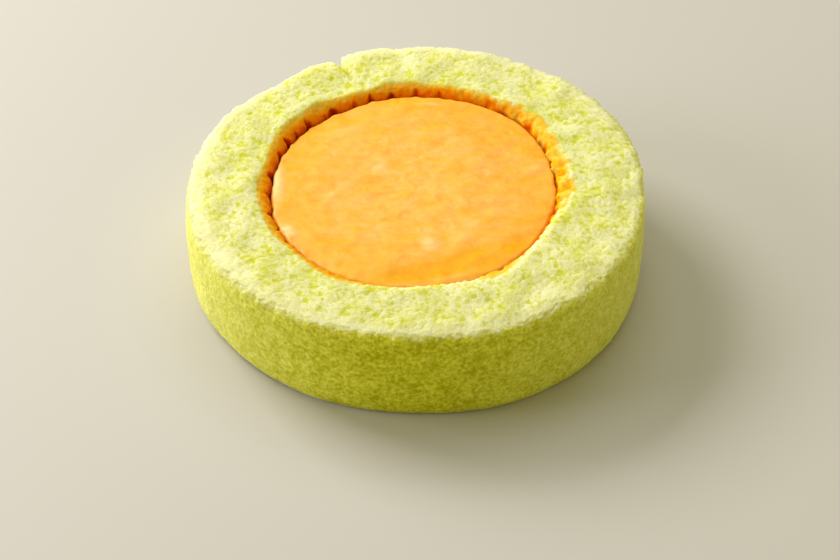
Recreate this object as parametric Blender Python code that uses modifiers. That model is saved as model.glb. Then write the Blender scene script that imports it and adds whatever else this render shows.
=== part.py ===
"""Melon roll cake: a slice of green sponge rolled into a ring round an orange melon cream.

The slice lies on its cut face. +Z is up, the origin is the middle of its base, and the
strip's ends meet at the back left.
"""

import math

import bmesh
import bpy
from mathutils import Vector, noise

MM = 0.001
CAKE_NAME = "melon_roll_cake"

# Driving sizes of the slice
CAKE_HEIGHT = 23.0 * MM
WALL_RADIUS = 50.2 * MM
WALL_BARREL = 0.3 * MM
TOP_EDGE_RADIUS = 49.4 * MM
BASE_EDGE_RADIUS = 49.0 * MM
EDGE_ROUNDING = 1.5 * MM
CRUMB_EDGE_RADIUS = 34.7 * MM
SKIN_FOOT_RADIUS = 32.1 * MM
SKIN_DROP = 2.3 * MM
SPONGE_STEPS = 240

# Unevenness round the ring: turns, size, and the direction of one crest in degrees
WALL_WAVES = ((3, 0.5 * MM, 70), (5, 0.18 * MM, 22), (8, 0.12 * MM, 155))
INNER_WAVES = ((1, 1.25 * MM, 160), (4, 0.2 * MM, 50), (7, 0.15 * MM, 148))
CRUMB_EDGE_WAVES = ((7, 0.25 * MM, 140), (13, 0.25 * MM, 99))

# Broad places that stand inwards: direction and half width in degrees, and depth
STRIP_END = (131, 14, 0.7 * MM)
CRUMB_BULGE = (316, 17, 1.1 * MM)

# The crimps that rolling presses into the browned inner skin
CRIMP_COUNT = 33
CRIMP_DEPTH = 1.4 * MM
CRIMP_DEPTH_CHANGE = 0.4
CRIMP_SHARPNESS = 0.5
CRIMP_UNEVENNESS = ((3, 0.9, 40), (7, 0.7, 10), (11, 0.45, 25))
CRIMP_AT_CRUMB_EDGE = 0.12

# The front of the ring, where the filling stands higher and covers most of the skin
FRONT_SHARPNESS = 2.5
SKIN_RISE_AT_FRONT = 0.4
SKIN_SPREAD_AT_FRONT = 0.6
CREAM_RISE_AT_FRONT = 1.2 * MM
CREAM_SPREAD_AT_FRONT = 1.3 * MM

# The torn crumb of the cut face and the soft wall
CRUMB_LUMP = 5.0 * MM
CRUMB_RELIEF = 0.6 * MM
EDGE_LUMP = 3.2 * MM
EDGE_RELIEF = 0.5 * MM
WALL_LUMP = 9.0 * MM
WALL_RELIEF = 0.25 * MM

# The groove where the strip's ends meet: distance from the middle, direction in degrees
SEAM_OUTLINE = (
    (54.0 * MM, 108.9),
    (45.7 * MM, 113.0),
    (37.5 * MM, 111.6),
    (45.7 * MM, 113.6),
    (54.0 * MM, 114.3),
)
SEAM_CUT_OVERRUN = 4.0 * MM

# The filling
CREAM_LEVEL = 20.9 * MM
CREAM_DOME = 0.6 * MM
CREAM_EDGE_ROUNDING = 1.1 * MM
CREAM_GAP = 0.35 * MM
CREAM_LUMP = 17.0 * MM
CREAM_RELIEF = 0.45 * MM
CREAM_STEPS = 120

SKIN_HOLLOW = 0.2 * MM
MERGE_DISTANCE = 0.00001
SMOOTH_ANGLE = math.radians(35)

# Colours, linear, with roughness
SPONGE_FINISH = ((0.86, 0.80, 0.27, 1.0), 0.9)
CREAM_FINISH = ((0.97, 0.50, 0.11, 1.0), 0.35)


def clear_scene():
    for thing in list(bpy.data.objects):
        bpy.data.objects.remove(thing, do_unlink=True)


def make_collection(name):
    collection = bpy.data.collections.new(name)
    bpy.context.scene.collection.children.link(collection)
    return collection


def make_material(name, finish):
    colour, roughness = finish
    material = bpy.data.materials.new(name)
    material.use_nodes = True
    shader = material.node_tree.nodes["Principled BSDF"]
    shader.inputs["Base Color"].default_value = colour
    shader.inputs["Roughness"].default_value = roughness
    shader.inputs["Metallic"].default_value = 0.0
    return material


def smooth_step(value):
    """0 below 0, 1 above 1, and an even curve between."""
    held = min(max(value, 0.0), 1.0)
    return held * held * (3.0 - 2.0 * held)


def waves(angle, terms):
    return sum(
        size * math.cos(turns * (angle - math.radians(crest)))
        for turns, size, crest in terms
    )


def frontness(angle):
    """1 where the ring faces the front, falling to 0 at the back."""
    return ((1.0 - math.sin(angle)) / 2.0) ** FRONT_SHARPNESS


def inset(angle, place):
    """How far a broad place stands inwards at this angle."""
    direction, half_width, depth = place
    aside = abs(math.degrees(angle) % 360.0 - direction) / half_width
    return depth * (1.0 - smooth_step(aside))


def wall_shift(angle):
    """How far the outer wall stands out from its mean radius."""
    return waves(angle, WALL_WAVES) - inset(angle, STRIP_END)


def crumb_edge_shift(angle):
    """How far the crumb's inner edge stands out from the skin's own unevenness."""
    return waves(angle, CRUMB_EDGE_WAVES) - inset(angle, CRUMB_BULGE)


def crimp(angle):
    """Depth of the crimps: 0 on the crown of a fold, and the full depth in a groove."""
    phase = CRIMP_COUNT * angle / 2.0 + waves(angle, CRIMP_UNEVENNESS)
    groove = 1.0 - abs(math.sin(phase)) ** CRIMP_SHARPNESS
    depth = CRIMP_DEPTH * (1.0 + CRIMP_DEPTH_CHANGE * math.sin(5.0 * angle) * math.cos(2.0 * angle))
    return groove * depth


def lumps(place, lump_size, relief):
    return relief * noise.noise(place / lump_size)


def turn(name, profile, steps, collection, finish):
    """A closed profile of (radius, height) turned round +Z into one mesh object."""
    outline = bmesh.new()
    corners = [outline.verts.new((radius, 0.0, height)) for radius, height in profile]
    for first, second in zip(corners, corners[1:]):
        outline.edges.new((first, second))
    on_axis = profile[0][0] == 0.0
    if not on_axis:
        outline.edges.new((corners[-1], corners[0]))
    mesh = bpy.data.meshes.new(name + "_profile")
    outline.to_mesh(mesh)
    outline.free()
    turned = bpy.data.objects.new(name + "_profile", mesh)
    collection.objects.link(turned)
    screw = turned.modifiers.new("turn", "SCREW")
    screw.angle = math.tau
    screw.steps = steps
    screw.render_steps = steps
    screw.use_merge_vertices = True
    screw.merge_threshold = MERGE_DISTANCE
    screw.use_smooth_shade = False
    solid = made_solid(turned, name, collection)
    solid.data.materials.append(make_material(name, finish))
    solid.data.shade_smooth()
    return solid


def made_solid(source, name, collection):
    """The evaluated source as a welded mesh object. The source is removed."""
    bpy.context.view_layer.update()
    evaluated = source.evaluated_get(bpy.context.evaluated_depsgraph_get())
    mesh = bpy.data.meshes.new_from_object(evaluated)
    mesh.name = name
    work = bmesh.new()
    work.from_mesh(mesh)
    bmesh.ops.remove_doubles(work, verts=work.verts, dist=MERGE_DISTANCE)
    work.to_mesh(mesh)
    work.free()
    solid = bpy.data.objects.new(name, mesh)
    solid.matrix_world = source.matrix_world
    collection.objects.link(solid)
    bpy.data.objects.remove(source, do_unlink=True)
    return solid


def sponge_profile():
    """The ring's section: down the wall, in along the base, up the skin, out over the face."""
    foot_height = CAKE_HEIGHT - SKIN_DROP
    crumb_width = TOP_EDGE_RADIUS - CRUMB_EDGE_RADIUS
    skin_width = CRUMB_EDGE_RADIUS - SKIN_FOOT_RADIUS
    wall = [
        (TOP_EDGE_RADIUS - 0.25 * EDGE_ROUNDING, CAKE_HEIGHT),
        (WALL_RADIUS - 0.1 * EDGE_ROUNDING, CAKE_HEIGHT - EDGE_ROUNDING),
        (WALL_RADIUS + 0.8 * WALL_BARREL, 0.70 * CAKE_HEIGHT),
        (WALL_RADIUS + WALL_BARREL, 0.42 * CAKE_HEIGHT),
        (WALL_RADIUS, 0.16 * CAKE_HEIGHT),
        (BASE_EDGE_RADIUS + 0.4 * EDGE_ROUNDING, 0.4 * EDGE_ROUNDING),
        (BASE_EDGE_RADIUS, 0.0),
    ]
    skin = [
        (SKIN_FOOT_RADIUS + 0.4 * EDGE_ROUNDING, 0.0),
        (SKIN_FOOT_RADIUS, 0.5 * EDGE_ROUNDING),
        (SKIN_FOOT_RADIUS - SKIN_HOLLOW, 0.5 * foot_height),
        (SKIN_FOOT_RADIUS, foot_height),
        (SKIN_FOOT_RADIUS + 0.5 * skin_width, CAKE_HEIGHT - 0.45 * SKIN_DROP),
        (CRUMB_EDGE_RADIUS, CAKE_HEIGHT - 0.1 * SKIN_DROP),
    ]
    face = [
        (CRUMB_EDGE_RADIUS + share * crumb_width, CAKE_HEIGHT)
        for share in (0.16, 0.39, 0.61, 0.82)
    ]
    return wall + skin + face


def crimp_share(radius):
    """How strongly the crimps show: whole on the skin, less at its rim, none on the crumb."""
    if radius > CRUMB_EDGE_RADIUS + CREAM_GAP:
        return 0.0
    up_the_skin = (radius - SKIN_FOOT_RADIUS) / (CRUMB_EDGE_RADIUS - SKIN_FOOT_RADIUS)
    return 1.0 - (1.0 - CRIMP_AT_CRUMB_EDGE) * smooth_step(up_the_skin)


def shape_sponge(sponge):
    """Bends the turned ring to the slice's own uneven form."""
    rim_height = CAKE_HEIGHT - EDGE_ROUNDING / 2.0
    upper_skin = CAKE_HEIGHT - 1.5 * SKIN_DROP
    for corner in sponge.data.vertices:
        radius = math.hypot(corner.co.x, corner.co.y)
        angle = math.atan2(corner.co.y, corner.co.x)
        height = corner.co.z
        outwards = smooth_step(
            (radius - CRUMB_EDGE_RADIUS) / (TOP_EDGE_RADIUS - CRUMB_EDGE_RADIUS)
        )
        up_the_skin = smooth_step(
            (radius - SKIN_FOOT_RADIUS) / (CRUMB_EDGE_RADIUS - SKIN_FOOT_RADIUS)
        )
        shift = outwards * wall_shift(angle)
        shift += (1.0 - outwards) * waves(angle, INNER_WAVES)
        shift += (1.0 - outwards) * up_the_skin * crumb_edge_shift(angle)
        shift += crimp_share(radius) * crimp(angle)
        if radius < CRUMB_EDGE_RADIUS and height > upper_skin:
            front = frontness(angle)
            height += front * SKIN_RISE_AT_FRONT * (CAKE_HEIGHT - height)
            shift += front * SKIN_SPREAD_AT_FRONT * (CRUMB_EDGE_RADIUS - radius)
        radius += shift
        place = Vector((radius * math.cos(angle), radius * math.sin(angle), height))
        if outwards > 0.9 and height > rim_height:
            radius += lumps(place, EDGE_LUMP, EDGE_RELIEF)
        elif outwards > 0.9 and height > 0.0:
            radius += lumps(place, WALL_LUMP, WALL_RELIEF)
        if height > rim_height:
            height += lumps(place, CRUMB_LUMP, CRUMB_RELIEF)
        corner.co = (radius * math.cos(angle), radius * math.sin(angle), height)


def cut_seam(sponge, cutters):
    """Cuts the groove that is left where the strip's two ends meet."""
    curve = bpy.data.curves.new("seam_outline", "CURVE")
    curve.dimensions = "2D"
    curve.fill_mode = "BOTH"
    curve.extrude = CAKE_HEIGHT / 2.0 + SEAM_CUT_OVERRUN
    spline = curve.splines.new("POLY")
    spline.points.add(len(SEAM_OUTLINE) - 1)
    for point, (distance, direction) in zip(spline.points, SEAM_OUTLINE):
        angle = math.radians(direction)
        point.co = (distance * math.cos(angle), distance * math.sin(angle), 0.0, 1.0)
    spline.use_cyclic_u = True
    outline = bpy.data.objects.new("seam_outline", curve)
    outline.location = (0.0, 0.0, CAKE_HEIGHT / 2.0)
    cutters.objects.link(outline)
    cutter = made_solid(outline, "seam_cutter", cutters)
    cutter.hide_render = True
    cutter.display_type = "WIRE"
    cut = sponge.modifiers.new("seam", "BOOLEAN")
    cut.operation = "DIFFERENCE"
    cut.solver = "EXACT"
    cut.object = cutter


def cream_profile(radius):
    """Half of the filling's section, out from the middle of its top and back along its base."""
    rounding = CREAM_EDGE_ROUNDING
    face = [(share * radius, CREAM_LEVEL) for share in (0.0, 0.2, 0.4, 0.6, 0.78)]
    edge = [
        (radius - rounding, CREAM_LEVEL),
        (radius - 0.3 * rounding, CREAM_LEVEL - 0.3 * rounding),
        (radius, CREAM_LEVEL - rounding),
        (radius, 0.5 * CREAM_LEVEL),
        (radius, CREAM_GAP),
        (0.0, CREAM_GAP),
    ]
    return face + edge


def shape_cream(cream, mean_radius):
    """Fits the filling to the crimped skin and gives its top the soft swells of a cut."""
    upper_part = CREAM_LEVEL - 1.5 * CREAM_EDGE_ROUNDING
    for corner in cream.data.vertices:
        radius = math.hypot(corner.co.x, corner.co.y)
        angle = math.atan2(corner.co.y, corner.co.x)
        height = corner.co.z
        reach = radius / mean_radius
        radius += reach * waves(angle, INNER_WAVES)
        if height > upper_part:
            front = frontness(angle) * reach * reach
            radius += front * CREAM_SPREAD_AT_FRONT
            place = Vector((radius * math.cos(angle), radius * math.sin(angle), 0.0))
            height += front * CREAM_RISE_AT_FRONT * (1.0 - 0.5 * reach ** 8)
            height += CREAM_DOME * (1.0 - reach ** 4)
            height += lumps(place, CREAM_LUMP, CREAM_RELIEF)
        corner.co = (radius * math.cos(angle), radius * math.sin(angle), height)


def main():
    clear_scene()
    cake = make_collection(CAKE_NAME)
    cutters = make_collection("cutters")
    sponge = turn("sponge_ring", sponge_profile(), SPONGE_STEPS, cake, SPONGE_FINISH)
    shape_sponge(sponge)
    cut_seam(sponge, cutters)
    cream_radius = SKIN_FOOT_RADIUS - SKIN_HOLLOW - CREAM_GAP
    cream = turn("cream_filling", cream_profile(cream_radius), CREAM_STEPS, cake, CREAM_FINISH)
    shape_cream(cream, cream_radius)
    for solid in (sponge, cream):
        solid.data.set_sharp_from_angle(angle=SMOOTH_ANGLE)


main()
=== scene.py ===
"""Melon roll cake: a slice of green melon sponge rolled round an orange melon cream.

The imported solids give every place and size. This script gives the looks: the torn crumb of
the cut faces, the fine outer wall, the browned and crimped inner skin and the smooth cream.
It is laid out as an add-on and run as a script.
"""

import math

import bmesh
import bpy
import numpy as np
from bpy.props import FloatProperty, FloatVectorProperty, IntProperty, PointerProperty
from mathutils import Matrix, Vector, noise


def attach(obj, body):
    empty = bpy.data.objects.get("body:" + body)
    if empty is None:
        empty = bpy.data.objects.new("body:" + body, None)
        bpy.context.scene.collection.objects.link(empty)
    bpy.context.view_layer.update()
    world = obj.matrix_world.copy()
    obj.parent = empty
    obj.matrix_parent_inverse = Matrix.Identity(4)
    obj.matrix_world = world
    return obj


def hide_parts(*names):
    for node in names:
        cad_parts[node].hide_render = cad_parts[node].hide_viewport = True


bl_info = {
    "name": "Melon roll cake",
    "version": (1, 0, 0),
    "blender": (4, 5, 0),
    "location": "View3D > Sidebar > Cake",
    "description": "A slice of melon roll cake with torn crumb, crimped skin and soft cream",
    "category": "Add Mesh",
}

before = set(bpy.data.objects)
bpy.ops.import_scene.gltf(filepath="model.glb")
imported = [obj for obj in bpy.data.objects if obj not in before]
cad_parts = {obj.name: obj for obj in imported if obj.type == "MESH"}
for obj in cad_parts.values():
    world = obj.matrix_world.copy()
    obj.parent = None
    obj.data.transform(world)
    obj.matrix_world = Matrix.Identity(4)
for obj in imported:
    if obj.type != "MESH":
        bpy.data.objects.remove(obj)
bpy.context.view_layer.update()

MM = 0.001
SPONGE_NODE = "sponge_ring"
CREAM_NODE = "cream_filling"
PICTURE_WIDTH = 840.0
SENSOR_WIDTH = 36.0

# Unevenness round the ring, as in the solids: turns, size and one crest's direction in degrees
WALL_WAVES = ((3, 0.5 * MM, 70), (5, 0.18 * MM, 22), (8, 0.12 * MM, 155))
INNER_WAVES = ((1, 0.7 * MM, 212), (2, 0.35 * MM, 90), (4, 0.2 * MM, 50), (7, 0.15 * MM, 148))
FOOT_WAVES = (
    (1, 0.88 * MM, 138), (2, 0.7 * MM, 69), (3, 0.2 * MM, 45), (4, 0.2 * MM, 50), (7, 0.15 * MM, 148),
)
FOOT_INSET = 0.36 * MM
CRUMB_EDGE_WAVES = ((7, 0.25 * MM, 140), (13, 0.25 * MM, 99))
CRIMP_UNEVENNESS = ((3, 0.9, 40), (7, 0.7, 10), (11, 0.45, 25))

# Lumps that the solids have too
FACE_LUMP_WIDTH = 5.0 * MM
FACE_LUMP_HEIGHT = 0.6 * MM
EDGE_LUMP_WIDTH = 3.2 * MM
EDGE_LUMP_HEIGHT = 0.5 * MM
WALL_LUMP_WIDTH = 9.0 * MM
WALL_LUMP_HEIGHT = 0.25 * MM

# Broad places that stand inwards: direction and half width in degrees, and depth
STRIP_END = (131, 14, 0.7 * MM)
CRUMB_BULGES = ((316, 17, 1.1 * MM), (335, 27, 1.9 * MM), (277, 30, 0.8 * MM))

# Where the looks change round the ring: a direction in degrees, or a direction and a half width.
# The skin shows as a narrow band at the right of the front, and in front the cream hides it.
CLEAN_EDGE_DIRECTION = -35
LUMPED_SKIN_DIRECTION = 22
DARKEST_SKIN_DIRECTION = 205
NARROW_SKIN = (327, 22)
HIDDEN_SKIN = (272, 26)
# The front wall, where the outer wall is given a painted shade: its pale grains are deeper and greener and
# its mottling stronger than on the lit sides
SHADED_FRONT_WALL = (268, 48)

# Crimps: width at the skin's foot and at the tip, least strength, and heights up the skin
CRIMP_WIDTH = 0.85
CRIMP_TIP_WIDTH = 0.08
WEAKEST_CRIMP = 0.35
SHORTEST_CRIMP = 0.4
TALLEST_CRIMP = 0.8

# Towards the front the skin and the cream stand higher and further out: the skin by a share of
# its drop and its width, the cream by a length
FRONT_SHARPNESS = 2.5
SKIN_RISE_AT_FRONT = 0.4
SKIN_SPREAD_AT_FRONT = 0.6
CREAM_RISE_AT_FRONT = 1.2 * MM
CREAM_SPREAD_AT_FRONT = 1.3 * MM

CREAM_DOME = 0.6 * MM
CREAM_CLEARANCE = 0.1 * MM
SKIN_HOLLOW = 0.2 * MM

# The clean edge of the cut face: the band that it takes up, the share of its rounding that it
# fills, and how far it stands out
CLEAN_EDGE_DEPTH = 2.4 * MM
CLEAN_EDGE_WIDTH = 3.0 * MM
CLEAN_EDGE_BLEND = 2.0 * MM
CLEAN_EDGE_RISE = 0.55
CLEAN_EDGE_SPREAD = 0.3 * MM

# The seam: its route from the skin to the wall, its notch with a lip at either side, and the
# crease that it leaves in the cut face
SEAM_RADII = (34.0 * MM, 37.5 * MM, 45.7 * MM, 50.2 * MM)
SEAM_DIRECTIONS = (111.6, 111.6, 113.1, 112.3)
SEAM_DEPTH = 4.3 * MM
SEAM_HALF_WIDTH = 1.35 * MM
SEAM_LIPS = (1.1 * MM, 2.6 * MM)
SEAM_START = 43.0 * MM
SEAM_FULL = 49.4 * MM
CREASE_DEPTH = 0.55 * MM
CREASE_HALF_WIDTH = 0.75 * MM
CREASE_START = 36.5 * MM
CREASE_RUN_IN = 6.0 * MM

# At the seam the mesh has this many extra columns for each usual one, over this part of a turn
COLUMN_CROWDING = 3.0
CROWDED_TURN = 0.008

# Noise patterns: how wide their lumps are, and where in the noise they are taken
CRUMB_WOBBLE = (1.3 * MM, 3.1)
CRUMB_TEARS = (0.8 * MM, 41.7)
CRUMB_GRAINS = (0.42 * MM, 8.3)
CRUMB_SWELLS = (3.2 * MM, 5.9)
CRUMB_DAMPNESS = (6.5 * MM, 51.3)
CRUMB_SLIDE = (0.9 * MM, 6.6)
CRUMB_RAGGEDNESS = (0.9 * MM, 7.7)
SKIN_STREAKS = (0.9 * MM, 15.5)
SKIN_LUMPS = (2.5 * MM, 19.1)
SKIN_SMALL_LUMPS = (1.2 * MM, 29.1)
SKIN_PATCHES = (1.6 * MM, 12.2)
EDGE_FRINGE = (1.1 * MM, 4.4)
WALL_FRINGE = (1.1 * MM, 9.4)
RIM_SWELLS = (2.0 * MM, 2.2)
RIM_LUMPS = (0.9 * MM, 7.2)
CREAM_TILT = (17.0 * MM, 0.0)
CREAM_SWELLS = (8.0 * MM, 9.1)
CREAM_DABS = (3.2 * MM, 3.3)
CREAM_RIDGES = (2.6 * MM, 14.4)
CREAM_RIPPLES = (1.4 * MM, 6.1)
CREAM_GRAINS = (0.8 * MM, 16.2)

# The crumb's clumps and bubbles are cells: the distance from a cell's middle to its edge in cell
# widths, where in the noise each is taken, and the share of cells that are open bubbles
CELL_REACH = 0.62
CLUMP_SHIFT = 1.7
BUBBLE_SHIFT = 5.5
BUBBLE_SHARE = 0.3

# The cells are bent aside by three noises of this width, so that none looks round
SWIRL_WIDTH = 1.1 * MM
SWIRL_REACH = 0.35 * MM
SWIRL_SHIFTS = (11.3, 23.9, 37.1)

# Depth of the relief on the cut faces, on the outer wall and on the skin
CUT_RELIEF = 0.26 * MM
WALL_RELIEF = 0.05 * MM
SKIN_WOBBLE_RELIEF = 0.15 * MM
SKIN_GRAIN_RELIEF = 0.08 * MM
SKIN_STREAK_RELIEF = 0.28 * MM
SKIN_LUMP_RELIEF = 0.65 * MM

# Millimetres over which the wall's colour ends at a clean edge, and how many more at a worn one
WALL_FADING = 1.3
WORN_WALL_FADING = 2.6

# Scattered numbers that turn a place into its own repeatable chance
CHANCE_TURNS = (12.9898, 78.233, 37.719)
CHANCE_GAIN = 43758.5453

# Free border of each tile of the bake layout, as a share of the whole
TILE_MARGIN = 0.006

# Single marks of the spatula: place across and back, direction, half length, half width and height, in
# millimetres and degrees, and tone from -1, a painted shade in sunk dents, pits and the swath at the front,
# to 1, a painted highlight on raised dabs and the left rim, with one painted reflection at the back left
SPATULA_MARKS = (
    (2.7, -19.3, 100, 2.0, 1.6, 0.28, 0.9),
    (1.0, -27.8, 14, 7.5, 1.7, -0.22, -1.6),
    (9.0, -24.6, 35, 4.8, 2.0, -0.2, -1.5),
    (15.0, -25.2, 35, 3.2, 1.4, -0.15, -0.8),
    (9.5, -28.6, 22, 7.0, 1.1, 0.3, 0.15),
    (9.6, -17.2, 60, 3.6, 1.5, 0.18, 0.2),
    (20.5, -19.5, 40, 5.0, 2.0, -0.1, -0.6),
    (23.0, 2.3, 30, 2.8, 1.6, -0.2, -0.5),
    (25.6, 6.0, 45, 3.2, 1.3, 0.16, 0.3),
    (15.4, 15.7, 150, 1.4, 0.9, -0.2, -0.4),
    (-8.2, 6.6, 50, 2.4, 1.0, 0.14, 0.5),
    (-18.4, -2.8, 45, 2.2, 0.9, 0.14, 0.5),
    (-9.7, -7.8, 0, 1.5, 0.7, -0.14, -0.5),
    (-27.0, -14.6, 120, 2.0, 1.1, 0.4, 1.0),
    (-30.4, 1.5, 93, 6.0, 1.0, 0.35, 1.2),
    (3.4, 28.7, 0, 2.6, 0.6, 0.3, 0.4),
    (-16.0, 19.0, 20, 4.0, 1.4, 0.15, 0.3),
)


def linear(code):
    """An sRGB hex colour such as "#F0E992" as linear red, green and blue."""
    values = [int(code[at:at + 2], 16) / 255 for at in (1, 3, 5)]
    return [v / 12.92 if v <= 0.04045 else ((v + 0.055) / 1.055) ** 2.4 for v in values]


def length(name, description, default):
    return FloatProperty(name=name, description=description, default=default, unit="LENGTH", precision=5)


def colour(name, description, code):
    return FloatVectorProperty(
        name=name, description=description, default=linear(code), subtype="COLOR", size=3, min=0, max=1
    )


def power(name, description, default):
    return FloatProperty(name=name, description=description, default=default, min=0, unit="POWER")


class CakeSizes(bpy.types.PropertyGroup):
    height: length("Height", "Thickness of the slice", 23 * MM)
    wall_radius: length("Wall radius", "Mean radius of the outer wall", 50.2 * MM)
    wall_barrel: length("Wall barrel", "How far the wall stands out at mid height", 0.3 * MM)
    top_edge_radius: length("Top edge radius", "Radius of the cut face's outer edge", 49.4 * MM)
    base_edge_radius: length("Base edge radius", "Radius of the part that rests", 49 * MM)
    crumb_edge_radius: length("Crumb edge radius", "Where crumb turns to browned skin", 34.7 * MM)
    skin_foot_radius: length("Skin foot radius", "Where the skin meets the cream", 32.1 * MM)
    skin_drop: length("Skin drop", "How far the skin slopes down to the cream", 2.0 * MM)
    crimp_depth: length("Crimp depth", "Depth of the folds in the inner skin", 0.75 * MM)
    crimp_count: IntProperty(name="Crimps", description="Folds round the inner skin", default=37, min=3)
    clump: length("Clumps", "Width of the crumb's small clumps", 1.15 * MM)
    bubble: length("Bubbles", "Width of the larger bubbles that the cut opens", 1.6 * MM)
    columns: IntProperty(name="Columns", description="Steps round the sponge's mesh", default=800, min=48)
    cream_level: length("Cream level", "Height of the cream's top", 20.9 * MM)
    cream_rounding: length("Cream rounding", "Rounding of the cream's rim", 0.8 * MM)
    cream_columns: IntProperty(name="Cream columns", description="Steps round the cream", default=360,
                               min=24)


class CakeColours(bpy.types.PropertyGroup):
    # The hollow colour serves the crumb's random mottling, and is also a painted shade in its hollows and
    # the seam's crease
    crumb_crown: colour("Crumb crowns", "Raised crumb of the cut faces", "#E4E2B4")
    crumb_hollow: colour("Crumb hollows", "Between the clumps of the cut faces", "#CECF44")
    # The outer wall's pale grains come as a lit copy and a shaded copy; the shaded one, deeper and greener,
    # is a painted shade on the front wall
    wall_lit: colour("Wall, lit", "Pale grains of the outer wall where it is lit", "#EFEE98")
    wall_shaded: colour("Wall, moist", "Pale grains of the outer wall where it is moist", "#EFEE48")
    wall_deep: colour("Wall, deep", "Deep patches of the outer wall", "#B9B808")
    skin_rim: colour("Skin at the crumb", "Barely browned rim of the inner skin", "#E6BC44")
    skin_mid: colour("Skin", "Browned inner skin", "#EFA200")
    skin_foot: colour("Skin at the cream", "Darkest browning at the cream", "#F67C00")
    # The groove colour is a painted shade for the bottoms of the crimps and the slit by the cream
    skin_groove_shade: colour("Skin grooves", "Bottom of the crimps", "#BE2E00")
    cream_body: colour("Cream", "The cream as it mostly is", "#FFC068")
    cream_deep: colour("Cream, deep", "Denser, deeper streaks of the cream", "#FFB02C")
    # The rim colour also paints shade into the sunk marks and the swath at the front; the pale colour is a
    # painted highlight on the raised marks and the left rim, and one painted reflection
    cream_rim: colour("Cream rim", "Where the cream thins against the skin", "#FFAC00")
    cream_highlight: colour("Cream, pale", "Highlit raised dabs of the cream", "#FFD48A")
    floor: colour("Floor", "Plain pale floor", "#C4BFBA")


class CakeStudio(bpy.types.PropertyGroup):
    camera_pitch: FloatProperty(
        name="Camera pitch", description="How far the camera looks down", default=math.radians(42.4),
        subtype="ANGLE", unit="ROTATION",
    )
    camera_place: FloatVectorProperty(
        name="Camera place", description="Where the camera stands", default=(0.0006, -0.4103, 0.3683),
        subtype="TRANSLATION", unit="LENGTH", size=3,
    )
    focal_pixels: FloatProperty(
        name="Focal length in pixels", description="Focal length in pixels of an 840 wide picture",
        default=2460.0,
    )
    key_power: power("Key power", "Window light from the back left", 8.8)
    side_power: power("Side power", "Reflector at the left", 4.1)
    room_power: power("Room power", "Weak light from the front right", 1.2)
    fill_power: power("Fill power", "Soft light from above", 3.2)
    sky: FloatProperty(name="Sky", description="Light from all round", default=0.3, min=0)


def add(tree, kind, sockets=(), stops=(), **settings):
    """Adds a node. sockets maps inputs to values or to outputs to join, stops fill a ramp."""
    node = tree.nodes.new(kind)
    for name, value in settings.items():
        setattr(node, name, value)
    for name, value in dict(sockets).items():
        if isinstance(value, bpy.types.NodeSocket):
            tree.links.new(value, node.inputs[name])
        else:
            node.inputs[name].default_value = value
    for count, (place, shade) in enumerate(stops):
        marks = node.color_ramp.elements
        mark = marks[count] if count < len(marks) else marks.new(place)
        mark.position = place
        mark.color = shade
    return node


def opaque(value):
    return (*value, 1.0)


def new_material(name):
    material = bpy.data.materials.new(name)
    material.use_nodes = True
    tree = material.node_tree
    return material, tree, tree.nodes["Principled BSDF"]


def smooth_step(value):
    held = np.clip(value, 0.0, 1.0)
    return held * held * (3.0 - 2.0 * held)


def waves(angle, terms):
    return sum(size * np.cos(turns * (angle - math.radians(crest))) for turns, size, crest in terms)


def frontness(angle):
    """1 where the ring faces the front, falling to 0 at the back."""
    return ((1.0 - np.sin(angle)) / 2.0) ** FRONT_SHARPNESS


def crispness(angle):
    """1 at the front and the right, where the cut face ends in a clean edge and isn't worn round."""
    return smooth_step(0.5 + 1.2 * np.cos(angle - math.radians(CLEAN_EDGE_DIRECTION)))


def rightness(angle):
    """1 at the right of the ring, where the skin is folded in lumps and barely browned."""
    return smooth_step(1.6 * np.cos(angle - math.radians(LUMPED_SKIN_DIRECTION)) - 0.6)


def in_degrees(angle):
    return np.degrees(angle) % 360.0


def around(angle, place, power_of_fall):
    """1 in a direction, falling to 0 past its half width, more suddenly for a higher power."""
    direction, half_width = place
    return np.exp(-(((in_degrees(angle) - direction) / half_width) ** power_of_fall))


def inset(angle, place):
    """How far a broad place stands inwards at this angle."""
    direction, half_width, depth = place
    aside = np.abs(in_degrees(angle) - direction) / half_width
    return depth * (1.0 - smooth_step(aside))


def chance_of(number):
    """A repeatable chance from 0 to 1 for each number."""
    return (np.sin(number) * CHANCE_GAIN) % 1.0


def groove_at(angle, up_the_skin, count):
    """1 in the bottom of a crimp: a wedge, widest at the skin's foot, that closes part way up."""
    phase = count * angle / 2.0 + waves(angle, CRIMP_UNEVENNESS)
    which = np.round(phase / np.pi) % count
    chance = chance_of(which * CHANCE_TURNS[0])
    strength = (WEAKEST_CRIMP + (1.0 - WEAKEST_CRIMP) * chance) * (1.0 - 0.6 * rightness(angle))
    tall = SHORTEST_CRIMP + (TALLEST_CRIMP - SHORTEST_CRIMP) * ((chance * 7.3) % 1.0)
    left = np.clip(1.0 - up_the_skin / tall, 0.0, 1.0)
    width = CRIMP_TIP_WIDTH + CRIMP_WIDTH * left
    return strength * smooth_step(left / 0.8) * smooth_step(1.0 - np.abs(np.sin(phase)) / width)


def noise_at(points, size, shift=0.0):
    """Smooth noise from about -1 to 1 for each point, with lumps size across."""
    flat = (points.reshape(-1, 3) / size + shift).tolist()
    return np.array([noise.noise(place) for place in flat]).reshape(points.shape[:-1])


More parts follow.
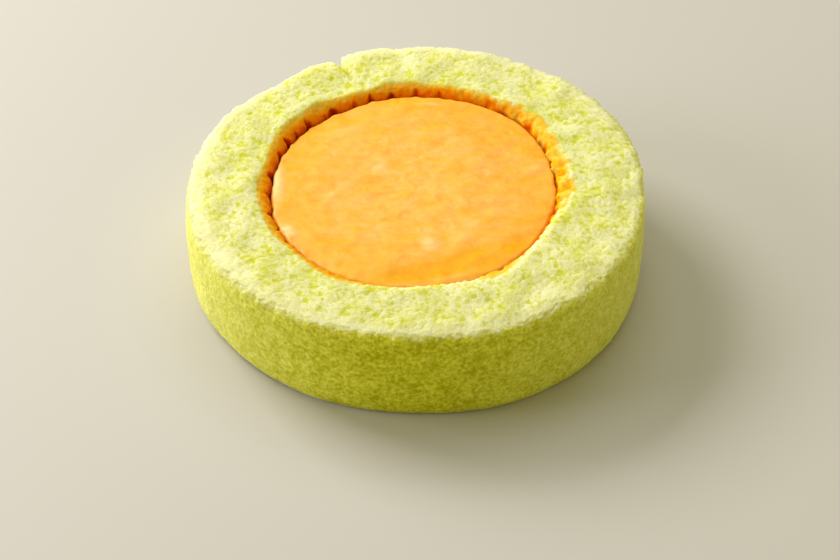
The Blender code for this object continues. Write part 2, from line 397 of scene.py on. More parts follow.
def cells_at(points, size, shift=0.0):
    """For each point in cells size across: distance from its cell's middle, and its cell's chance."""
    flat = (points.reshape(-1, 3) / size + shift).tolist()
    found = [noise.voronoi(place) for place in flat]
    near = np.array([distances[0] for distances, _ in found])
    centres = np.array([tuple(places[0]) for _, places in found])
    chance = chance_of(centres @ CHANCE_TURNS)
    return near.reshape(points.shape[:-1]), chance.reshape(points.shape[:-1])


def resample(corners, spacing):
    """Evenly spaced places along a line of (radius, height) corners, without the last."""
    corners = np.array(corners)
    steps = np.hypot(*np.diff(corners, axis=0).T)
    along = np.concatenate([[0.0], np.cumsum(steps)])
    count = max(1, round(along[-1] / spacing))
    places = np.linspace(0.0, along[-1], count, endpoint=False)
    return np.column_stack([np.interp(places, along, corners[:, k]) for k in (0, 1)])


def sponge_section(s):
    """The strip's section as (radius, height) rows, and how much each row is of each part."""
    foot = s.skin_foot_radius
    wall = s.wall_radius
    foot_height = s.height - s.skin_drop
    mid_skin = 0.5 * (foot + s.crumb_edge_radius)
    runs = (
        ("base", 1.5 * MM, [(foot + 0.6 * MM, 0.0), (s.base_edge_radius, 0.0)]),
        ("wall", 0.85 * MM, [
            (s.base_edge_radius, 0.0),
            (s.base_edge_radius + 0.6 * MM, 0.6 * MM),
            (wall, 0.16 * s.height),
            (wall + s.wall_barrel, 0.42 * s.height),
            (wall + 0.7 * s.wall_barrel, 0.66 * s.height),
            (wall - 0.1 * MM, s.height - 3.6 * MM),
            (wall - 0.5 * MM, s.height - 2.3 * MM),
        ]),
        ("face", 0.27 * MM, [
            (wall - 0.5 * MM, s.height - 2.3 * MM),
            (s.top_edge_radius - 0.3 * MM, s.height - 1.1 * MM),
            (s.top_edge_radius - 1.3 * MM, s.height - 0.35 * MM),
            (s.top_edge_radius - 2.8 * MM, s.height),
            (s.crumb_edge_radius + 0.35 * MM, s.height),
            (s.crumb_edge_radius, s.height - 0.2 * MM),
        ]),
        ("skin", 0.3 * MM, [
            (s.crumb_edge_radius, s.height - 0.2 * MM),
            (mid_skin, s.height - 0.45 * s.skin_drop),
            (foot, foot_height),
            (foot - 0.1 * MM, foot_height - 1.2 * MM),
        ]),
        ("inner", 2.4 * MM, [
            (foot - 0.1 * MM, foot_height - 1.2 * MM),
            (foot - SKIN_HOLLOW, 0.5 * foot_height),
            (foot, 0.75 * MM),
            (foot + 0.6 * MM, 0.0),
        ]),
    )
    rows = []
    parts = []
    for part, spacing, corners in runs:
        places = resample(corners, spacing)
        rows.append(places)
        parts += [part] * len(places)
    rows = np.vstack(rows)
    share = {name: np.array([float(part == name) for part in parts]) for name, _, _ in runs}
    for _ in range(2):
        eased = 0.25 * (np.roll(rows, 1, axis=0) + np.roll(rows, -1, axis=0)) + 0.5 * rows
        rows = np.where(rows[:, 1:] > 0.0, eased, rows)
        for name, values in share.items():
            share[name] = 0.25 * (np.roll(values, 1) + np.roll(values, -1)) + 0.5 * values
    return rows, share


def column_turns(columns):
    """Places round the ring in turns from the seam, closer together beside it."""
    fine = np.linspace(0.0, 1.0, 10 * columns + 1)
    density = 1.0 + COLUMN_CROWDING * np.exp(-((np.minimum(fine, 1.0 - fine) / CROWDED_TURN) ** 2))
    total = np.concatenate([[0.0], np.cumsum(0.5 * (density[1:] + density[:-1]))])
    return np.interp(np.linspace(0.0, total[-1], columns, endpoint=False), total, fine)


def seam_notch(aside):
    """How far the wall stands inwards where the strip's ends part, with their round lips."""
    parted = np.clip(1.0 - np.abs(aside) / SEAM_HALF_WIDTH, 0.0, 1.0)
    lip = np.where(aside > 0.0, SEAM_LIPS[1], SEAM_LIPS[0])
    near_lip = np.clip(1.0 - (np.abs(aside) - 0.5 * SEAM_HALF_WIDTH) / lip, 0.0, 1.0)
    return SEAM_DEPTH * parted + 0.4 * lip * near_lip ** 2 * (1.0 - parted)


def quads(columns, rows, closed_columns, closed_rows):
    """Corner numbers of the faces of a grid whose vertices run row by row in each column."""
    column = np.arange(columns if closed_columns else columns - 1)[:, None]
    row = np.arange(rows if closed_rows else rows - 1)[None, :]
    next_column = (column + 1) % columns
    next_row = (row + 1) % rows
    corners = (column * rows + row, next_column * rows + row,
               next_column * rows + next_row, column * rows + next_row)
    return np.stack(np.broadcast_arrays(*corners), axis=-1).reshape(-1, 4)


def sponge_form(s, turns, radius, height, share):
    """Places of the rolled strip before its crumb relief, and what the finish reads there."""
    angle = np.radians(np.interp(radius, SEAM_RADII, SEAM_DIRECTIONS)) + 2.0 * np.pi * turns
    aside = ((turns + 0.5) % 1.0 - 0.5) * 2.0 * np.pi * radius
    width = s.top_edge_radius - s.crumb_edge_radius
    outwards = smooth_step((radius - s.crumb_edge_radius) / width)
    up_the_skin = (radius - s.skin_foot_radius) / (s.crumb_edge_radius - s.skin_foot_radius)
    risen = smooth_step(up_the_skin)
    groove = groove_at(angle, up_the_skin, s.crimp_count)
    inner_shift = risen * waves(angle, INNER_WAVES) + (1.0 - risen) * (waves(angle, FOOT_WAVES) - FOOT_INSET)
    edge_shift = waves(angle, CRUMB_EDGE_WAVES) - sum(inset(angle, bulge) for bulge in CRUMB_BULGES)
    shift = outwards * (waves(angle, WALL_WAVES) - inset(angle, STRIP_END))
    shift = shift + (1.0 - outwards) * (inner_shift + risen * edge_shift) + groove * s.crimp_depth
    front = frontness(angle) * (radius < s.crumb_edge_radius) * (height > s.height - 1.5 * s.skin_drop)
    raised = height + front * SKIN_RISE_AT_FRONT * (s.height - height)
    shift = shift + front * SKIN_SPREAD_AT_FRONT * (s.crumb_edge_radius - radius)
    notched = np.clip((radius - SEAM_START) / (SEAM_FULL - SEAM_START), 0.0, 1.0)
    shift = shift - seam_notch(aside) * notched
    crisp = crispness(angle) * (height > s.height - CLEAN_EDGE_DEPTH)
    crisp = crisp * smooth_step((radius - s.top_edge_radius + CLEAN_EDGE_WIDTH) / CLEAN_EDGE_BLEND)
    raised = raised + CLEAN_EDGE_RISE * crisp * (s.height - height)
    shift = shift + CLEAN_EDGE_SPREAD * crisp
    crease = np.exp(-((aside / CREASE_HALF_WIDTH) ** 2))
    crease = crease * smooth_step((radius - CREASE_START) / CREASE_RUN_IN) * share["face"]
    raised = raised - CREASE_DEPTH * crease
    grown = radius + shift
    places = np.stack([grown * np.cos(angle), grown * np.sin(angle), raised], axis=-1)
    return places, angle, groove, up_the_skin, crease


def crumb_level(s, places, wobble, fine):
    """About 1 on the crowns of the torn crumb, and 0 or less in its hollows."""
    swirl = SWIRL_REACH * np.stack([noise_at(places, SWIRL_WIDTH, shift) for shift in SWIRL_SHIFTS], axis=-1)
    near, chance = cells_at(places + swirl, s.clump, CLUMP_SHIFT)
    clump = 0.6 - near / CELL_REACH + 0.3 * (chance - 0.5)
    torn = noise_at(places + swirl, *CRUMB_TEARS)
    bubble_near, bubble_chance = cells_at(places + swirl, s.bubble, BUBBLE_SHIFT)
    bubble = smooth_step((CELL_REACH - bubble_near) / 0.4)
    bubble = bubble * smooth_step((BUBBLE_SHARE - bubble_chance) / 0.15)
    swells = noise_at(places, *CRUMB_SWELLS)
    return 0.55 + 0.45 * clump + 0.45 * fine + 0.35 * torn + 0.2 * wobble + 0.2 * swells - 0.5 * bubble


def crumb_hollow(s, places, angle, radius, level, share, crease):
    """How deep yellow green the crumb is: deeper in its hollows and in the seam's crease, a painted shade;
    paler in a rim inside the outer edge, a painted light; and deeper where it is damp.
    """
    # A painted light: a band inside the outer edge is paler, less so at the right
    rim = smooth_step((radius - s.top_edge_radius + 4.2 * MM) / (2.6 * MM))
    rim = rim * (1.0 - 0.7 * rightness(angle + 0.6))
    damp = smooth_step(0.5 + 1.1 * noise_at(places, *CRUMB_DAMPNESS))
    # The hollows between the clumps get a painted shade of deeper yellow green
    hollow = smooth_step((0.6 - level) / 0.8) * (1.0 - 0.5 * rim) + 0.3 * damp - 0.35 * rim
    hollow = hollow + share["base"] * (0.3 - 0.6 * hollow)
    # The seam's crease gets the same painted shade
    return np.maximum(hollow, 0.9 * crease)


def skin_relief(places, angle, wobble, fine, streaked):
    """The skin's crust: drawn in streaks all round, and folded in lumps at the right."""
    lumped = 1.2 * noise_at(places, *SKIN_LUMPS) + 0.5 * noise_at(places, *SKIN_SMALL_LUMPS)
    crust = SKIN_WOBBLE_RELIEF * wobble + SKIN_GRAIN_RELIEF * fine + SKIN_STREAK_RELIEF * streaked
    return crust + SKIN_LUMP_RELIEF * rightness(angle) * lumped


def crumb_relief(s, places, angle, share, up_the_skin, crease):
    """How far each place stands out, how hollow it is, how much of it is crumb, and its grain."""
    wobble = noise_at(places, *CRUMB_WOBBLE)
    fine = noise_at(places, *CRUMB_GRAINS)
    streaked = noise_at(places * (1.0, 1.0, 0.25), *SKIN_STREAKS)
    level = crumb_level(s, places, wobble, fine)
    crumb = smooth_step((up_the_skin - 0.9 + 0.3 * wobble) / 0.16)
    face = share["face"] * crumb + share["base"]
    radius = np.hypot(places[..., 0], places[..., 1])
    hollow = crumb_hollow(s, places, angle, radius, level, share, crease)
    worn = 1.0 - crispness(angle)
    at_edge = smooth_step((radius - s.top_edge_radius + 2.2 * MM) / (1.6 * MM))
    cut = CUT_RELIEF * (level - 0.5) * (1.0 - 0.6 * worn * at_edge)
    soft = WALL_RELIEF * (level - 0.5)
    crusted = skin_relief(places, angle, wobble, fine, streaked)
    relief = face * cut + share["wall"] * soft + share["skin"] * (1.0 - crumb) * crusted
    return relief, hollow, crumb, fine, streaked


def fit_to_solid_lumps(s, places, share):
    """The lumps that the solids have, so that both keep one form."""
    top = share["face"]
    lift = FACE_LUMP_HEIGHT * top * noise_at(places, FACE_LUMP_WIDTH)
    radius = np.hypot(places[..., 0], places[..., 1])
    edge = top * smooth_step((radius - s.top_edge_radius + 1.6 * MM) / (1.2 * MM))
    out = EDGE_LUMP_HEIGHT * edge * noise_at(places, EDGE_LUMP_WIDTH)
    out = out + WALL_LUMP_HEIGHT * share["wall"] * noise_at(places, WALL_LUMP_WIDTH)
    return lift, out, edge


def build_mesh(name, vertices, faces, layout, values):
    """A mesh object with face corners laid out for baking and a value layer per name."""
    mesh = bpy.data.meshes.new(name)
    mesh.from_pydata(vertices.tolist(), [], faces if isinstance(faces, list) else faces.tolist())
    if layout is not None:
        mesh.uv_layers.new(name="OFBake").data.foreach_set("uv", layout.astype(np.float32).ravel())
    for label, numbers in values.items():
        mesh.attributes.new(label, "FLOAT", "POINT").data.foreach_set("value", numbers.astype(np.float32))
    mesh.shade_smooth()
    mesh.update()
    piece = bpy.data.objects.new(name, mesh)
    bpy.context.scene.collection.objects.link(piece)
    return piece


def strip_layout(columns, rows_along):
    """Bake layout of the ring: four quarter turns, two beside each other and two above."""
    turn = np.arange(columns) * 4.0 / columns
    tile = np.floor(turn + 1e-9)
    left = turn - tile
    right = left + 4.0 / columns
    low = rows_along[:-1]
    high = rows_along[1:]
    corner_turns = np.stack([left, right, right, left], axis=-1)[:, None, :]
    corner_rows = np.stack([low, low, high, high], axis=-1)[None, :, :]
    across = 0.5 * (tile % 2)[:, None, None] + TILE_MARGIN + (0.5 - 2 * TILE_MARGIN) * corner_turns
    up = 0.5 * (tile // 2)[:, None, None] + TILE_MARGIN + (0.5 - 2 * TILE_MARGIN) * corner_rows
    return np.stack(np.broadcast_arrays(across, up), axis=-1).reshape(-1, 2)


def browning(s, places, angle, radius, height, up_the_skin, grains, streaked):
    """Below 0 in the crumb, 0 where the skin starts and 1 at its foot."""
    ragged = 0.12 * noise_at(places, *SKIN_PATCHES) + 0.12 * grains
    right = rightness(angle)
    stained = 0.5 * right * smooth_step(0.1 - 2.0 * noise_at(places, *SKIN_LUMPS))
    deeply = 0.3 * np.clip(np.cos(angle - math.radians(DARKEST_SKIN_DIRECTION)), 0.0, 1.0)
    lightly = np.where(up_the_skin < 1.0, 1.0 - 0.55 * right + deeply, 1.0)
    within = smooth_step((1.0 - up_the_skin) / 0.4)
    brown = (1.0 - up_the_skin) * lightly + ragged + stained * (up_the_skin < 1.6) + 0.5 * within * streaked
    narrow = around(angle, NARROW_SKIN, 4)
    foot_alone = 1.4 * smooth_step((0.5 - up_the_skin) / 0.3) - 0.2
    hidden = around(angle, HIDDEN_SKIN, 4)
    brown = np.clip(brown, -1.0, 1.5) * (1.0 - narrow) + foot_alone * narrow
    brown = brown * (1.0 - hidden) - 0.2 * hidden
    under = smooth_step((0.9 * MM - height) / (0.5 * MM))
    return brown * (1.0 - under) - under * smooth_step((radius - s.skin_foot_radius) / (0.8 * MM))


def wall_share(s, places, radius):
    """1 on the fine outer wall, which ends raggedly just under the cut faces' edges."""
    ragged = 0.3 * MM * noise_at(places, *WALL_FRINGE)
    worn = 1.0 - crispness(np.arctan2(places[..., 1], places[..., 0]))
    fading = (WALL_FADING + WORN_WALL_FADING * worn) * MM
    below_top = smooth_step((s.height + 0.2 * MM + 2.0 * ragged - places[..., 2]) / fading)
    above_base = smooth_step((places[..., 2] - 0.3 * MM + ragged) / (0.45 * MM))
    outside = smooth_step((radius - s.top_edge_radius + 0.7 * MM) / (0.8 * MM))
    at_top = places[..., 2] > 0.5 * s.height
    return below_top * above_base * np.where(at_top, outside, radius > s.base_edge_radius - 1.0 * MM)


def build_sponge(s):
    """The rolled strip: its form, the solids' lumps and its crumb, with a torn edge."""
    rows, share_rows = sponge_section(s)
    columns = s.columns
    turns = column_turns(columns)[:, None]
    radius = np.broadcast_to(rows[:, 0], (columns, len(rows)))
    height = np.broadcast_to(rows[:, 1], radius.shape)
    share = {name: np.broadcast_to(values, radius.shape) for name, values in share_rows.items()}
    places, angle, groove, up_the_skin, crease = sponge_form(s, turns, radius, height, share)
    lift, out, edge = fit_to_solid_lumps(s, places, share)
    relief, hollow, crumb, grains, streaked = crumb_relief(s, places, angle, share, up_the_skin, crease)
    tangent = np.roll(rows, -1, axis=0) - np.roll(rows, 1, axis=0)
    tangent = tangent / np.hypot(*tangent.T)[:, None]
    outward = tangent[:, 1]
    upward = -tangent[:, 0]
    fringe = noise_at(places, *EDGE_FRINGE)
    torn_edge = 1.0 - 0.6 * crispness(angle) - 0.3 * rightness(angle)
    jag = edge * MM * ((0.15 + 0.3 * torn_edge) * fringe + (0.35 + 0.15 * torn_edge) * grains)
    jag = jag + 0.12 * MM * share["wall"] * fringe
    sway = share["face"] * crumb
    slide = 0.15 * MM * sway * (1.0 - 0.7 * edge) * noise_at(places, *CRUMB_SLIDE)
    ragged = 0.15 * MM * sway * (1.0 - 0.7 * edge) + 0.2 * MM * np.exp(-(((up_the_skin - 1.0) / 0.35) ** 2))
    radial = outward * relief + out + jag + ragged * noise_at(places, *CRUMB_RAGGEDNESS)
    finished = np.stack([
        places[..., 0] + radial * np.cos(angle) - slide * np.sin(angle),
        places[..., 1] + radial * np.sin(angle) + slide * np.cos(angle),
        np.maximum(places[..., 2] + upward * relief + lift, 0.0),
    ], axis=-1)
    values = {
        "hollow": hollow,
        "brown": browning(s, places, angle, radius, height, up_the_skin, grains, streaked),
        "groove": groove,
        "wall": wall_share(s, places, radius),
        "shaded": around(angle, SHADED_FRONT_WALL, 2),
    }
    steps = np.hypot(*(np.roll(rows, -1, axis=0) - rows).T)
    rows_along = np.concatenate([[0.0], np.cumsum(steps)]) / steps.sum()
    piece = build_mesh(
        "sponge_crumb", finished.reshape(-1, 3), quads(columns, len(rows), True, True),
        strip_layout(columns, rows_along),
        {name: np.broadcast_to(numbers, radius.shape).reshape(-1) for name, numbers in values.items()},
    )
    turn_faces_out(piece)
    return piece


def turn_faces_out(piece):
    work = bmesh.new()
    work.from_mesh(piece.data)
    bmesh.ops.recalc_face_normals(work, faces=work.faces)
    work.to_mesh(piece.data)
    work.free()


def sponge_material(colours):
    """Chiffon sponge, baked and then torn by the cut: matte, open and slightly translucent. Its raised crumb
    is pale and its hollows get a painted shade of deeper yellow green; the front wall and the skin's crimps
    get painted shade too. Its real cells go down to a tenth of a millimetre, and are drawn half a millimetre
    wide, which is what shows."""
    material, tree, shader = new_material("torn_chiffon_sponge")
    where = add(tree, "ShaderNodeTexCoord").outputs["Object"]
    hollow = add(tree, "ShaderNodeAttribute", attribute_name="hollow").outputs["Fac"]
    brown = add(tree, "ShaderNodeAttribute", attribute_name="brown").outputs["Fac"]
    groove = add(tree, "ShaderNodeAttribute", attribute_name="groove").outputs["Fac"]
    wall = add(tree, "ShaderNodeAttribute", attribute_name="wall").outputs["Fac"]
    stir = add(tree, "ShaderNodeTexNoise", {"Vector": where, "Scale": 1 / (0.7 * MM), "Detail": 2.0})
    nudge = add(tree, "ShaderNodeVectorMath", {0: stir.outputs["Color"], 1: (0.45 * MM,) * 3, 2: where},
                operation="MULTIPLY_ADD")
    cells = add(tree, "ShaderNodeTexVoronoi", {"Vector": nudge.outputs[0], "Scale": 1 / (0.55 * MM)})
    grain = add(tree, "ShaderNodeTexNoise", {"Vector": where, "Scale": 1 / (0.9 * MM), "Detail": 4.0})
    patch = add(tree, "ShaderNodeTexNoise", {"Vector": where, "Scale": 1 / (3.2 * MM), "Detail": 2.0})
    between = add(tree, "ShaderNodeMapRange", {"Value": cells.outputs["Distance"], "From Min": 0.25,
                                               "From Max": 0.75})
    speckle = add(tree, "ShaderNodeMapRange", {"Value": grain.outputs["Fac"], "From Min": 0.3,
                                               "From Max": 0.7})
    drift = add(tree, "ShaderNodeMapRange", {"Value": patch.outputs["Fac"], "From Min": 0.3,
                                             "From Max": 0.7})
    mottled = add(tree, "ShaderNodeMix", {0: 0.5, 2: speckle.outputs[0], 3: between.outputs[0]})
    uneven = add(tree, "ShaderNodeMix", {0: 0.25, 2: mottled.outputs[0], 3: drift.outputs[0]})
    # The hollow value mixes the crown and hollow colours: a painted shade in the hollows and the crease, and
    # a painted light in the outer rim, over random mottling
    depth = add(tree, "ShaderNodeMath", {0: hollow, 1: 0.9, 2: -0.25}, operation="MULTIPLY_ADD")
    mixed = add(tree, "ShaderNodeMath", {0: uneven.outputs[0], 1: 0.75, 2: depth.outputs[0]},
                operation="MULTIPLY_ADD")
    mixed.use_clamp = True
    crumb = add(tree, "ShaderNodeMix", {0: mixed.outputs[0], 6: opaque(colours.crumb_crown),
                                        7: opaque(colours.crumb_hollow)}, data_type="RGBA")
    dust = add(tree, "ShaderNodeTexNoise", {"Vector": where, "Scale": 1 / (0.5 * MM), "Detail": 3.0,
                                            "Roughness": 0.7})
    rough = add(tree, "ShaderNodeMix", {0: 0.3, 2: grain.outputs["Fac"], 3: patch.outputs["Fac"]})
    dusty = add(tree, "ShaderNodeMix", {0: 0.3, 2: rough.outputs[0], 3: dust.outputs["Fac"]})
    crisp = add(tree, "ShaderNodeMapRange", {"Value": dusty.outputs[0], "From Min": 0.38, "From Max": 0.62})
    # Painted shade on the front wall: there the pale grains take the shaded copy and the mottling is drawn
    # with more contrast, with less contrast on the lit sides
    shaded = add(tree, "ShaderNodeAttribute", attribute_name="shaded").outputs["Fac"]
    contrast = add(tree, "ShaderNodeMapRange", {"Value": shaded, "To Min": 0.55, "To Max": 1.3})
    marked = add(tree, "ShaderNodeMix", {0: contrast.outputs[0], 2: 0.5, 3: crisp.outputs[0]},
                 clamp_factor=False)
    grains = add(tree, "ShaderNodeMix", {0: shaded, 6: opaque(colours.wall_lit),
                                         7: opaque(colours.wall_shaded)}, data_type="RGBA")
    side = add(tree, "ShaderNodeMix", {0: marked.outputs[0], 6: grains.outputs[2],
                                       7: opaque(colours.wall_deep)}, data_type="RGBA")
    pale = add(tree, "ShaderNodeMix", {0: wall, 6: crumb.outputs[2], 7: side.outputs[2]}, data_type="RGBA")
    baked = add(tree, "ShaderNodeValToRGB", {"Fac": brown}, stops=(
        (0.15, opaque(colours.skin_rim)), (0.55, opaque(colours.skin_mid)), (1.0, opaque(colours.skin_foot)),
    ))
    # The bottoms of the crimps, and the skin's foot where the browning passes 1, take the groove colour: a
    # painted shade of the crimps' folds and of the slit against the cream
    sunk = add(tree, "ShaderNodeMath", {0: groove, 1: brown}, operation="MULTIPLY")
    fold = add(tree, "ShaderNodeMapRange", {"Value": sunk.outputs[0], "From Min": 0.05, "From Max": 0.75})
    foot = add(tree, "ShaderNodeMapRange", {"Value": brown, "From Min": 1.0, "From Max": 1.5})
    crimp_and_slit_shade = add(tree, "ShaderNodeMath", {0: fold.outputs[0], 1: foot.outputs[0]}, operation="MAXIMUM")
    skin = add(tree, "ShaderNodeMix", {0: crimp_and_slit_shade.outputs[0], 6: baked.outputs["Color"],
                                       7: opaque(colours.skin_groove_shade)}, data_type="RGBA")
    browned = add(tree, "ShaderNodeMapRange", {"Value": brown, "From Min": -0.1, "From Max": 0.08})
    whole = add(tree, "ShaderNodeMix", {0: browned.outputs[0], 6: pale.outputs[2], 7: skin.outputs[2]},
                data_type="RGBA")
    pores = add(tree, "ShaderNodeTexNoise", {"Vector": where, "Scale": 1 / (0.4 * MM), "Detail": 2.0})
    raised = add(tree, "ShaderNodeMath", {0: cells.outputs["Distance"], 1: -0.8, 2: pores.outputs["Fac"]},
                 operation="MULTIPLY_ADD")
    bump = add(tree, "ShaderNodeBump", {"Height": raised.outputs[0], "Strength": 0.6, "Distance": 0.15 * MM})
    tree.links.new(whole.outputs[2], shader.inputs["Base Color"])
    tree.links.new(bump.outputs["Normal"], shader.inputs["Normal"])
    shader.inputs["Roughness"].default_value = 0.85
    shader.inputs["IOR"].default_value = 1.4
    shader.inputs["Specular IOR Level"].default_value = 0.06
    shader.inputs["Sheen Weight"].default_value = 0.1
    shader.inputs["Sheen Roughness"].default_value = 0.3
    shader.inputs["Sheen Tint"].default_value = opaque(colours.crumb_crown)
    shader.inputs["Subsurface Weight"].default_value = 0.8
    shader.inputs["Subsurface Radius"].default_value = (1.0, 0.92, 0.15)
    shader.inputs["Subsurface Scale"].default_value = 5.0 * MM
    return material


def cream_section(s, outer):
    """The cream's section as (radius, height) rows, from the middle of its top to that of its base."""
    rounding = s.cream_rounding
    turns = np.linspace(0.0, 0.5 * np.pi, 9)
    rim = [(outer - rounding + rounding * math.sin(t), s.cream_level - rounding + rounding * math.cos(t))
           for t in turns]
    top = resample([(0.35 * MM, s.cream_level), rim[0]], 0.35 * MM)
    side = resample([rim[-1], (outer, 0.35 * MM), (outer - 0.6 * MM, 0.0), (2.0 * MM, 0.0)], 1.2 * MM)
    return np.vstack([top, rim[:-1], side])


def middle_fans(columns, count):
    """Triangles from the first and the last row of each column to the two middle vertices."""
    first_middle = columns * count
    fans = []
    for column in range(columns):
        here = column * count
        there = (column + 1) % columns * count
        fans.append((first_middle, there, here))
        fans.append((first_middle + 1, here + count - 1, there + count - 1))
    return fans


def build_cream(s):
    """The cream: a disc that fills the skin's foot, with a pressed rim and the spatula's marks."""
    outer = s.skin_foot_radius - SKIN_HOLLOW - CREAM_CLEARANCE
    rows = cream_section(s, outer)
    columns = s.cream_columns
    angle = np.linspace(0.0, 2.0 * np.pi, columns, endpoint=False)[:, None]
    radius = np.broadcast_to(rows[:, 0], (columns, len(rows)))
    reach = radius / outer
    upper = smooth_step((rows[:, 1] - 0.5 * s.cream_level) / (0.4 * s.cream_level))
    front = frontness(angle) * upper
    grown = radius + reach * (waves(angle, FOOT_WAVES) - FOOT_INSET)
    grown = grown + reach ** 2 * front * CREAM_SPREAD_AT_FRONT
    flat = np.stack(np.broadcast_arrays(grown * np.cos(angle), grown * np.sin(angle), 0.0 * angle), axis=-1)
    pressed = 0.3 * MM * noise_at(flat, *RIM_SWELLS) + 0.15 * MM * noise_at(flat, *RIM_LUMPS)
    pushed = upper * s.crimp_depth * groove_at(angle, 0.0, s.crimp_count)
    grown = grown + reach ** 8 * (0.7 * pressed - 0.15 * MM + 1.0 * MM * front + 0.5 * pushed)
    height = rows[:, 1] + front * reach ** 2 * CREAM_RISE_AT_FRONT * (1.0 - 0.5 * reach ** 8)
    height = height + upper * CREAM_DOME * (1.0 - reach ** 4)
    height = height + upper * 0.45 * MM * noise_at(flat, *CREAM_TILT)
    marked, tone = spatula_marks(flat)
    height = height + upper * (cream_relief(flat) + marked)
    finished = np.stack([grown * np.cos(angle), grown * np.sin(angle), height], axis=-1)
    middles = np.array([[0.0, 0.0, finished[:, 0, 2].mean()], [0.0, 0.0, 0.0]])
    vertices = np.vstack([finished.reshape(-1, 3), middles])
    faces = quads(columns, len(rows), True, False).tolist() + middle_fans(columns, len(rows))
    # Deeper towards the rim all round, and a painted shade where a mark's tone is below 0; a painted
    # highlight where it is above 0
    deep = upper * np.clip(0.5 * smooth_step((reach - 0.45) / 0.5) - tone, 0.0, 1.0)
    pale = upper * np.clip(tone, 0.0, 1.0)
    values = {name: np.append(numbers.reshape(-1), [0.0, 0.0]) for name, numbers in (
        ("rim", deep), ("pale", pale),
    )}
    piece = build_mesh("cream_swirl_top", vertices, faces, None, values)
    turn_faces_out(piece)
    return piece


def spatula_marks(flat):
    """Height of the single dabs and drags that the spatula left, and their tone: painted shade where they
    sink, painted highlight where they stand up.
    """
    height = 0.0
    tone = 0.0
    for across, back, direction, half_length, half_width, raised, shade in SPATULA_MARKS:
        turn = math.radians(direction)
        x = flat[..., 0] / MM - across
        y = flat[..., 1] / MM - back
        along = (x * math.cos(turn) + y * math.sin(turn)) / half_length
        aside = (y * math.cos(turn) - x * math.sin(turn)) / half_width
        form = np.exp(-along ** 2 - aside ** 2)
        height = height + raised * MM * form
        tone = tone + shade * form
    return height, tone


def cream_relief(flat):
    """Swells, the soft ridges that a spatula leaves, and the few pits of burst bubbles."""
    swells = 0.2 * MM * noise_at(flat, *CREAM_SWELLS)
    dabs = 0.2 * MM * noise_at(flat * (0.7, 1.0, 1.0), *CREAM_DABS)
    ridges = 0.2 * MM * (0.4 - np.abs(noise_at(flat * (0.55, 1.0, 1.0), *CREAM_RIDGES)))
    ripples = 0.12 * MM * noise_at(flat * (0.6, 1.0, 1.0), *CREAM_RIPPLES)
    fine = 0.03 * MM * noise_at(flat, *CREAM_GRAINS)
    distance, chance = cells_at(flat, 4.2 * MM, 2.9)
    pits = np.exp(-((distance / 0.13) ** 2)) * (chance < 0.25)
    return swells + dabs + ridges + ripples + fine - 0.25 * MM * pits


def cream_material(colours):
    """Whipped melon cream, spread and cut: fat in water, so it is smooth, half glossy and lets
    light in deep enough to warm every shadow."""
    material, tree, shader = new_material("whipped_melon_cream")
    where = add(tree, "ShaderNodeTexCoord").outputs["Object"]
    rim = add(tree, "ShaderNodeAttribute", attribute_name="rim").outputs["Fac"]
    pale = add(tree, "ShaderNodeAttribute", attribute_name="pale").outputs["Fac"]
    drawn = add(tree, "ShaderNodeVectorMath", {0: where, 1: (0.6, 1.0, 1.0)}, operation="MULTIPLY")
    patch = add(tree, "ShaderNodeTexNoise", {"Vector": drawn.outputs[0], "Scale": 1 / (3.2 * MM),
                                             "Detail": 6.0, "Roughness": 0.72})
    spread = add(tree, "ShaderNodeMapRange", {"Value": patch.outputs["Fac"], "From Min": 0.35,
                                              "From Max": 0.65})
    body = add(tree, "ShaderNodeMix", {0: spread.outputs[0], 6: opaque(colours.cream_body),
                                       7: opaque(colours.cream_deep)}, data_type="RGBA")
    # The rim value carries the marks' painted shade, and the pale value their painted highlight and
    # reflection
    deepened_and_shaded = add(tree, "ShaderNodeMix", {0: rim, 6: body.outputs[2], 7: opaque(colours.cream_rim)},
                data_type="RGBA")
    whole = add(tree, "ShaderNodeMix", {0: pale, 6: deepened_and_shaded.outputs[2], 7: opaque(colours.cream_highlight)},
                data_type="RGBA")
    fine = add(tree, "ShaderNodeTexNoise", {"Vector": where, "Scale": 1 / (1.1 * MM), "Detail": 3.0})
    bump = add(tree, "ShaderNodeBump", {"Height": fine.outputs["Fac"], "Strength": 0.5,
                                        "Distance": 0.2 * MM})
    tree.links.new(whole.outputs[2], shader.inputs["Base Color"])
    tree.links.new(bump.outputs["Normal"], shader.inputs["Normal"])
    shader.inputs["Roughness"].default_value = 0.36
    shader.inputs["IOR"].default_value = 1.45
    shader.inputs["Specular IOR Level"].default_value = 0.25
    shader.inputs["Subsurface Weight"].default_value = 0.5
    shader.inputs["Subsurface Radius"].default_value = (1.0, 0.5, 0.2)
    shader.inputs["Subsurface Scale"].default_value = 2.5 * MM
    return material


def dress(piece, material, node):
    piece.data.materials.append(material)
    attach(piece, "root")
    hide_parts(node)


class MELONCAKE_OT_sponge(bpy.types.Operator):
    """Makes the rolled sponge with its crumb, crimped skin and seam"""

    bl_idname = "meloncake.sponge"
    bl_label = "Sponge ring"

    def execute(self, context):
        sizes = context.scene.cake_sizes
        material = sponge_material(context.scene.cake_colours)
        dress(build_sponge(sizes), material, SPONGE_NODE)
        return {"FINISHED"}


class MELONCAKE_OT_cream(bpy.types.Operator):
    """Makes the melon cream that fills the ring"""

    bl_idname = "meloncake.cream"
    bl_label = "Cream filling"

    def execute(self, context):
        piece = build_cream(context.scene.cake_sizes)
        dress(piece, cream_material(context.scene.cake_colours), CREAM_NODE)
        return {"FINISHED"}


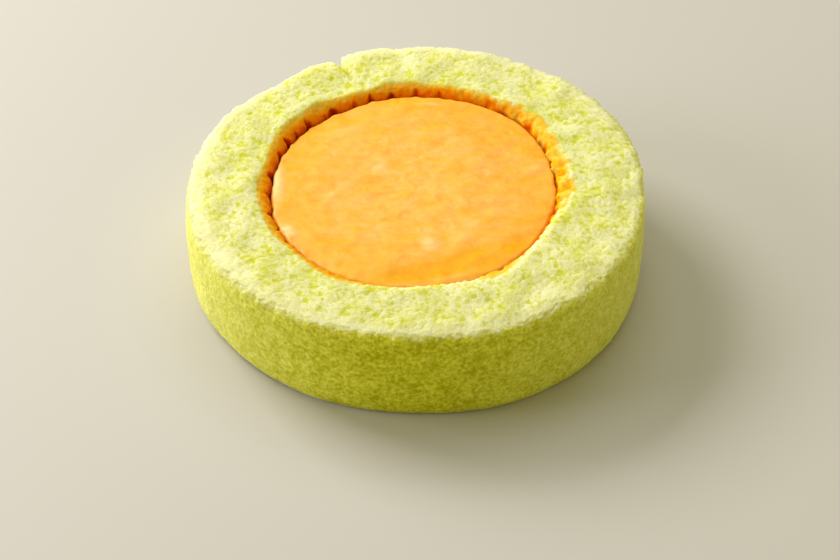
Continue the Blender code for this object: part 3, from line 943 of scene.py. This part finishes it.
def add_light(name, direction, elevation, distance, width, depth, power, warmth):
    """A square of light that looks at the cake from a direction and an elevation in degrees."""
    turn = math.radians(direction)
    rise = math.radians(elevation)
    out = Vector((math.cos(turn) * math.cos(rise), math.sin(turn) * math.cos(rise), math.sin(rise)))
    data = bpy.data.lights.new(name, "AREA")
    data.shape = "RECTANGLE"
    data.size = width
    data.size_y = depth
    data.energy = power
    data.color = warmth
    light = bpy.data.objects.new(name, data)
    light.location = out * distance
    light.rotation_euler = out.to_track_quat("Z", "Y").to_euler()
    bpy.context.scene.collection.objects.link(light)


class MELONCAKE_OT_stage(bpy.types.Operator):
    """Makes the plain floor, the soft studio light and the camera"""

    bl_idname = "meloncake.stage"
    bl_label = "Stage, light and camera"

    def execute(self, context):
        scene = context.scene
        studio = scene.cake_studio
        colours = scene.cake_colours
        bpy.ops.mesh.primitive_plane_add(size=6.0, location=(0.0, 0.0, -0.0002))
        floor = context.object
        floor.name = "floor"
        material, _, shader = new_material("matt_painted_board")
        shader.inputs["Base Color"].default_value = opaque(colours.floor)
        shader.inputs["Roughness"].default_value = 0.6
        floor.data.materials.append(material)
        add_light("window", 138, 36, 1.0, 0.5, 0.4, studio.key_power, (1.0, 0.98, 0.96))
        add_light("reflector", 182, 20, 0.9, 0.5, 0.35, studio.side_power, (0.97, 0.96, 1.0))
        add_light("room", -25, 25, 1.0, 0.7, 0.5, studio.room_power, (1.0, 0.94, 0.25))
        add_light("ceiling", 80, 62, 1.1, 0.8, 0.8, studio.fill_power, (1.0, 1.0, 1.0))
        world = bpy.data.worlds.new("studio")
        world.use_nodes = True
        sky = world.node_tree.nodes["Background"]
        sky.inputs["Color"].default_value = (1.0, 0.95, 0.5, 1.0)
        sky.inputs["Strength"].default_value = studio.sky
        scene.world = world
        scene.view_settings.view_transform = "Standard"
        lens = bpy.data.cameras.new("camera")
        lens.sensor_width = SENSOR_WIDTH
        lens.lens = studio.focal_pixels * lens.sensor_width / PICTURE_WIDTH
        camera = bpy.data.objects.new("camera", lens)
        camera.location = studio.camera_place
        camera.rotation_euler = (0.5 * math.pi - studio.camera_pitch, 0.0, 0.0)
        scene.collection.objects.link(camera)
        scene.camera = camera
        return {"FINISHED"}


class MELONCAKE_PT_panel(bpy.types.Panel):
    """Lists the steps and the settings of the cake"""

    bl_idname = "MELONCAKE_PT_panel"
    bl_label = "Melon roll cake"
    bl_space_type = "VIEW_3D"
    bl_region_type = "UI"
    bl_category = "Cake"

    def draw(self, context):
        for step in STEPS:
            self.layout.operator(step.bl_idname)
        for group in (context.scene.cake_sizes, context.scene.cake_colours, context.scene.cake_studio):
            for name in group.__annotations__:
                self.layout.prop(group, name)


STEPS = (MELONCAKE_OT_sponge, MELONCAKE_OT_cream, MELONCAKE_OT_stage)
GROUPS = {"cake_sizes": CakeSizes, "cake_colours": CakeColours, "cake_studio": CakeStudio}
CLASSES = (*GROUPS.values(), *STEPS, MELONCAKE_PT_panel)


def register():
    for kind in CLASSES:
        bpy.utils.register_class(kind)
    for name, kind in GROUPS.items():
        setattr(bpy.types.Scene, name, PointerProperty(type=kind))


def unregister():
    for name in GROUPS:
        delattr(bpy.types.Scene, name)
    for kind in reversed(CLASSES):
        bpy.utils.unregister_class(kind)


def main():
    register()
    bpy.ops.meloncake.sponge()
    bpy.ops.meloncake.cream()
    bpy.ops.meloncake.stage()


if __name__ == "__main__":
    main()
